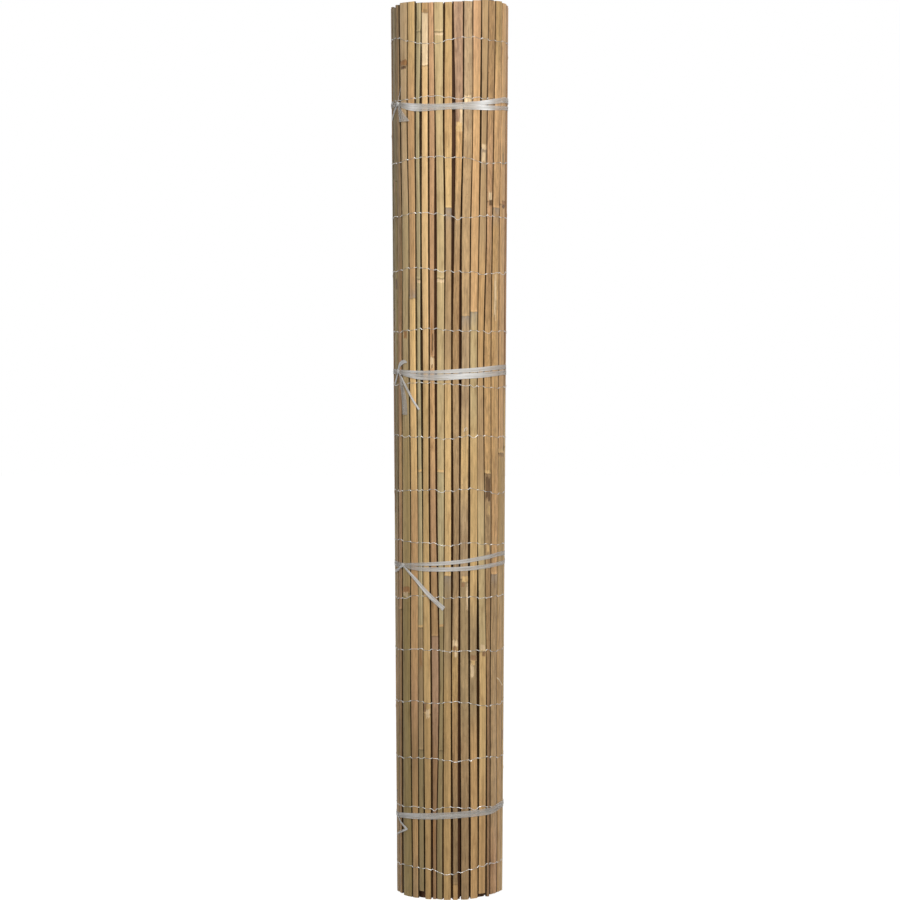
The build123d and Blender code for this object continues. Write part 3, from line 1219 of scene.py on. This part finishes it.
def add_knot(shape, tie, seed):
    """The crumpled lump where the tape is tied."""
    rings, sides = knot_rings, knot_sides
    size = Vector(knot_size) * MM
    angle = math.radians(tie.knot[0])
    height = tie.knot[1] * MM
    out = Vector((math.sin(angle), -math.cos(angle), 0))
    along = Vector((math.cos(angle), math.sin(angle), 0))
    centre = on_loop(angle, height, knot_lift)
    first = len(shape.points)
    for ring in range(rings):
        polar = math.pi * (ring + 0.5) / rings
        for side in range(sides):
            turn = math.tau * side / sides
            level = math.sin(polar)
            ray = Vector((level * math.cos(turn), level * math.sin(turn), math.cos(polar)))
            dent = noise.noise(ray * knot_dent_beat + Vector((seed * knot_seed, 0, 0)))
            pleat = math.sin(knot_pleat_beats[0] * turn + knot_pleat_beats[1] * polar + seed)
            crease = 1 + knot_dent * dent + knot_pleat * pleat
            place = centre + (along * ray.x * size.x + out * ray.y * size.y) * crease
            place.z += ray.z * size.z * crease
            grain = (ray.x * size.x, ray.z * size.z, seed)
            # The knot carries a painted glint
            shape.add_point(place, (1.0, 1.0, 1.0), grain, knot_glint)
    shape.skin(first, sides, rings)


def make_tie(number, finish):
    """A whole tie: two turns of tape, the knot and the loose ends."""
    tie = ties[number - 1]
    shape = Shape()
    for turn in range(2):
        rows = tape_edges(pass_line(tie, turn))
        add_film(shape, rows, tape_lift + turn * layer_lift, number * pass_seed + turn, tie.glints)
    for order, tail in enumerate(tie.tails):
        lift = tape_lift + (tail_layers + order * tail_layer_step) * layer_lift
        add_film(shape, tape_edges(tail_line(tail)), lift, number * tail_seed + order, tail_glints)
    for fan in tie.fans:
        edges = tail_line(fan)
        rows = [((left, height), (right, height)) for left, right, height in edges]
        add_film(shape, rows, tape_lift + fan_layers * layer_lift, number * fan_seed)
    add_knot(shape, tie, number)
    make_piece(f"tape_tie_{number}", shape, (finish,), [f"tie_{number}"])


def shader(name):
    """A new material's node tree, with its shader and output joined."""
    material = bpy.data.materials.new(name)
    material.use_nodes = True
    return material, material.node_tree, material.node_tree.nodes["Principled BSDF"]


def add_node(tree, kind, sockets=None, **settings):
    """A shader node with its settings, and values or links for its sockets."""
    node = tree.nodes.new("ShaderNode" + kind)
    for name, value in settings.items():
        setattr(node, name, value)
    for socket, value in (sockets or {}).items():
        if isinstance(value, bpy.types.NodeSocket):
            tree.links.new(value, node.inputs[socket])
        else:
            node.inputs[socket].default_value = value
    return node


MIX_A, MIX_B, MIX_COLOUR = 6, 7, 2
stain_tint = (0.5, 0.42, 0.36, 1)
speck_tint = (0.62, 0.52, 0.44, 1)


def mix_colour(tree, factor, first, second, blend="MIX"):
    """One colour mixed over another."""
    sockets = {0: factor, MIX_A: first, MIX_B: second}
    return add_node(tree, "Mix", sockets, data_type="RGBA", blend_type=blend).outputs[MIX_COLOUR]


def combine(tree, operation, first, second):
    """Two values added, multiplied or compared."""
    return add_node(tree, "Math", {0: first, 1: second}, operation=operation).outputs[0]


def attribute(tree, name, output):
    """A value that the points of a piece hold."""
    return add_node(tree, "Attribute", attribute_name=name).outputs[output]


def stretch(tree, place, scale):
    """A place in the grain, scaled along each of its directions."""
    return add_node(tree, "VectorMath", {0: place, 1: scale}, operation="MULTIPLY").outputs[0]


def spots(tree, place, scale, detail):
    """Soft spots, from 0 to 1."""
    return add_node(tree, "TexNoise", {"Vector": place, "Scale": scale, "Detail": detail}).outputs[0]


def spread(tree, value, low, high, to_low=0.0, to_high=1.0):
    """A value between two limits, spread between two others."""
    sockets = {"Value": value, "From Min": low, "From Max": high, "To Min": to_low, "To Max": to_high}
    return add_node(tree, "MapRange", sockets).outputs[0]


def add_relief(tree, body, height, strength, distance):
    """Fine relief on a finish."""
    sockets = {"Strength": strength, "Distance": distance, "Height": height}
    tree.links.new(add_node(tree, "Bump", sockets).outputs[0], body.inputs["Normal"])


def bamboo_grain_group():
    """The marks that all the bamboo shares: fibres, broad streaks, stains, blotches and specks."""
    group = bpy.data.node_groups.new("bamboo_grain", "ShaderNodeTree")
    face = group.interface
    face.new_socket("Grain", in_out="INPUT", socket_type="NodeSocketVector")
    grain = group.nodes.new("NodeGroupInput").outputs["Grain"]
    end = group.nodes.new("NodeGroupOutput")

    def marks(name, scale, detail, low, high):
        face.new_socket(name, in_out="OUTPUT", socket_type="NodeSocketFloat")
        mark = spread(group, spots(group, stretch(group, grain, scale), 1.0, detail), low, high)
        group.links.new(mark, end.inputs[name])

    marks("Fibre", (1400, 16, 50), 3.0, 0.3, 0.7)
    marks("Streak", (260, 5, 50), 2.0, 0.3, 0.7)
    marks("Stain", (150, 26, 50), 4.0, 0.54, 0.74)
    marks("Mottle", (360, 60, 50), 4.0, 0.3, 0.7)
    marks("Speck", (800, 240, 50), 2.0, 0.62, 0.74)
    return group


def bamboo(name, group, fibre_depth, stain_depth, roughness):
    """A bamboo finish: each slat's own tone with fibres, streaks, stains and wear."""
    material, tree, body = shader(name)
    tone = attribute(tree, "tone", "Color")
    wear_and_glint = attribute(tree, "wear_and_glint", "Fac")
    marks = add_node(tree, "Group", {"Grain": attribute(tree, "grain", "Vector")}, node_tree=group)

    def between(mark, low, high):
        return spread(tree, marks.outputs[mark], 0.0, 1.0, low, high)

    def product(first, second):
        return combine(tree, "MULTIPLY", first, second)

    blotch = product(between("Mottle", -0.30, 0.24), wear_and_glint)
    blotch_shade = combine(tree, "ADD", blotch, 1.0)
    fibre_shade = between("Fibre", 1 - fibre_depth, 1 + fibre_depth / 2)
    shade = product(product(fibre_shade, between("Streak", 0.82, 1.14)), blotch_shade)
    shaded = add_node(tree, "VectorMath", {0: tone, "Scale": shade}, operation="SCALE").outputs[0]
    stained = mix_colour(tree, product(marks.outputs["Stain"], stain_depth), shaded, stain_tint, "MULTIPLY")
    specked = mix_colour(tree, product(marks.outputs["Speck"], wear_and_glint), stained, speck_tint, "MULTIPLY")
    tree.links.new(specked, body.inputs["Base Color"])
    tree.links.new(between("Streak", roughness + 0.12, roughness - 0.08), body.inputs["Roughness"])
    body.inputs["Specular IOR Level"].default_value = 0.25
    add_relief(tree, body, combine(tree, "ADD", marks.outputs["Fibre"], blotch), 0.35, 0.25 * MM)
    return material


def cut_end_finish():
    """The sawn ends of the slats: pale wood with dark pores."""
    material, tree, body = shader("sawn_end")
    place = add_node(tree, "TexCoord").outputs["Object"]
    pores = add_node(tree, "TexVoronoi", {"Vector": place, "Scale": 1100.0}).outputs["Distance"]
    pore = spread(tree, pores, 0.25, 0.45)
    wear_and_glint = spots(tree, place, 90.0, 3.0)
    wood = mix_colour(tree, wear_and_glint, (0.36, 0.24, 0.125, 1), (0.62, 0.45, 0.26, 1))
    pored = mix_colour(tree, pore, (0.22, 0.13, 0.07, 1), wood)
    tree.links.new(pored, body.inputs["Base Color"])
    body.inputs["Roughness"].default_value = 0.8
    add_relief(tree, body, pore, 0.4, 0.3 * MM)
    return material


def wire_finish():
    """Galvanised wire: dull zinc with brighter spangles, times each point's tone, which paints glints and
    shade.
    """
    material, tree, body = shader("galvanised_wire")
    place = add_node(tree, "TexCoord").outputs["Object"]
    spangle = spots(tree, place, 420.0, 2.0)
    zinc = mix_colour(tree, spangle, (0.6, 0.59, 0.57, 1), (1.0, 1.0, 0.98, 1))
    tone = attribute(tree, "tone", "Color")
    tree.links.new(mix_colour(tree, 1.0, zinc, tone, "MULTIPLY"), body.inputs["Base Color"])
    tree.links.new(spread(tree, spangle, 0.0, 1.0, 0.55, 0.28), body.inputs["Roughness"])
    body.inputs["Metallic"].default_value = 0.85
    return material


def tape_finish():
    """Thin clear film, creased along its length, with painted white glints in patches."""
    material, tree, body = shader("tie_film")
    grain = attribute(tree, "grain", "Vector")
    crease = spots(tree, stretch(tree, grain, (900, 26, 3)), 1.0, 3.0)
    # Painted highlight: the points' glint strength, broken into patches, turns the film white and more
    # opaque
    patch = spots(tree, stretch(tree, grain, (420, 24, 3)), 1.0, 2.0)
    sheen = spread(tree, patch, 0.35, 0.65, 0.55, 1.0)
    white = combine(tree, "MULTIPLY", attribute(tree, "wear_and_glint", "Fac"), sheen)
    film = mix_colour(tree, crease, (0.56, 0.53, 0.48, 1), (0.82, 0.79, 0.74, 1))
    tree.links.new(mix_colour(tree, white, film, (1.0, 0.99, 0.97, 1)), body.inputs["Base Color"])
    covers = {0: white, 1: 0.5, 2: spread(tree, crease, 0.3, 0.7, 0.24, 0.52)}
    covered = add_node(tree, "Math", covers, operation="MULTIPLY_ADD", use_clamp=True).outputs[0]
    tree.links.new(covered, body.inputs["Alpha"])
    body.inputs["Roughness"].default_value = 0.35
    add_relief(tree, body, crease, 0.2, 0.3 * MM)
    return material


# The camera: a long lens a little above the roll's middle, tilted slightly down
camera_place = (-1.2 * MM, -5.118, 0.967)
camera_tilt = math.radians(-2.393)
sensor_width = 36.0
lens_length = 120.58

# The light: a soft lamp in front and above, an even light all round, and a white floor
key_place = (0.55, -2.5, 2.9)
key_target = (0, 0, 1.15)
key_size = 1.3
key_power = 90
ambient_light = 0.25
floor_reach = 14.0
floor_glow = 1.4
floor_glow_share = 0.7


def make_camera():
    """The camera at the photograph's viewing angle."""
    data = bpy.data.cameras.new("camera")
    data.sensor_width = sensor_width
    data.lens = lens_length
    camera = bpy.data.objects.new("camera", data)
    camera.location = camera_place
    camera.rotation_euler = (math.radians(90) + camera_tilt, 0, 0)
    bpy.context.scene.collection.objects.link(camera)
    bpy.context.scene.camera = camera


def make_lamp(name, place, target, size, power):
    """A soft square lamp that faces a target."""
    data = bpy.data.lights.new(name, "AREA")
    data.size = size
    data.energy = power
    lamp = bpy.data.objects.new(name, data)
    lamp.location = place
    lamp.rotation_euler = (Vector(target) - Vector(place)).to_track_quat("-Z", "Y").to_euler()
    bpy.context.scene.collection.objects.link(lamp)


def backdrop_rays(tree):
    """A mask of the rays that see the backdrop itself, straight on, in gloss or through film."""
    path = add_node(tree, "LightPath")
    seen = combine(tree, "MAXIMUM", path.outputs["Is Camera Ray"], path.outputs["Is Glossy Ray"])
    return combine(tree, "MAXIMUM", seen, path.outputs["Is Transmission Ray"])


def make_world(ambient):
    """White where the backdrop is seen, and a plain soft light on the object."""
    world = bpy.data.worlds.new("studio")
    world.use_nodes = True
    bpy.context.scene.world = world
    tree = world.node_tree
    strength = spread(tree, backdrop_rays(tree), 0.0, 1.0, ambient, 1.0)
    background = tree.nodes["Background"]
    background.inputs["Color"].default_value = (1, 1, 1, 1)
    tree.links.new(strength, background.inputs["Strength"])


def make_floor():
    """A plain white floor that keeps a faint shadow."""
    mesh = bpy.data.meshes.new("floor")
    corners = [(x * floor_reach, y * floor_reach, 0) for x, y in ((-1, -1), (1, -1), (1, 1), (-1, 1))]
    mesh.from_pydata(corners, [], [(0, 1, 2, 3)])
    floor = bpy.data.objects.new("floor", mesh)
    bpy.context.scene.collection.objects.link(floor)
    material, tree, body = shader("floor_white")
    body.inputs["Base Color"].default_value = (0.5, 0.5, 0.5, 1)
    body.inputs["Roughness"].default_value = 0.9
    white = add_node(tree, "Emission", {"Color": (1, 1, 1, 1), "Strength": floor_glow})
    share = combine(tree, "MULTIPLY", backdrop_rays(tree), floor_glow_share)
    mixed = add_node(tree, "MixShader", {0: share, 1: body.outputs[0], 2: white.outputs[0]})
    tree.links.new(mixed.outputs[0], tree.nodes["Material Output"].inputs["Surface"])
    mesh.materials.append(material)


grain_group = bamboo_grain_group()
bamboo_skin = bamboo("bamboo_skin", grain_group, 0.16, 0.55, 0.5)
inner_bamboo = bamboo("inner_bamboo", grain_group, 0.2, 0.7, 0.62)
sawn_end = cut_end_finish()
galvanised_wire = wire_finish()
tie_film = tape_finish()

make_outer_turn(bamboo_skin, sawn_end)
make_inner_turns(inner_bamboo, sawn_end)
for row in range(wire_rows):
    make_wire_row(row, galvanised_wire)
for number in range(1, len(ties) + 1):
    make_tie(number, tie_film)

make_camera()
make_lamp("key_lamp", key_place, key_target, key_size, key_power)
make_world(ambient_light)
make_floor()
bpy.context.scene.view_settings.view_transform = "Standard"
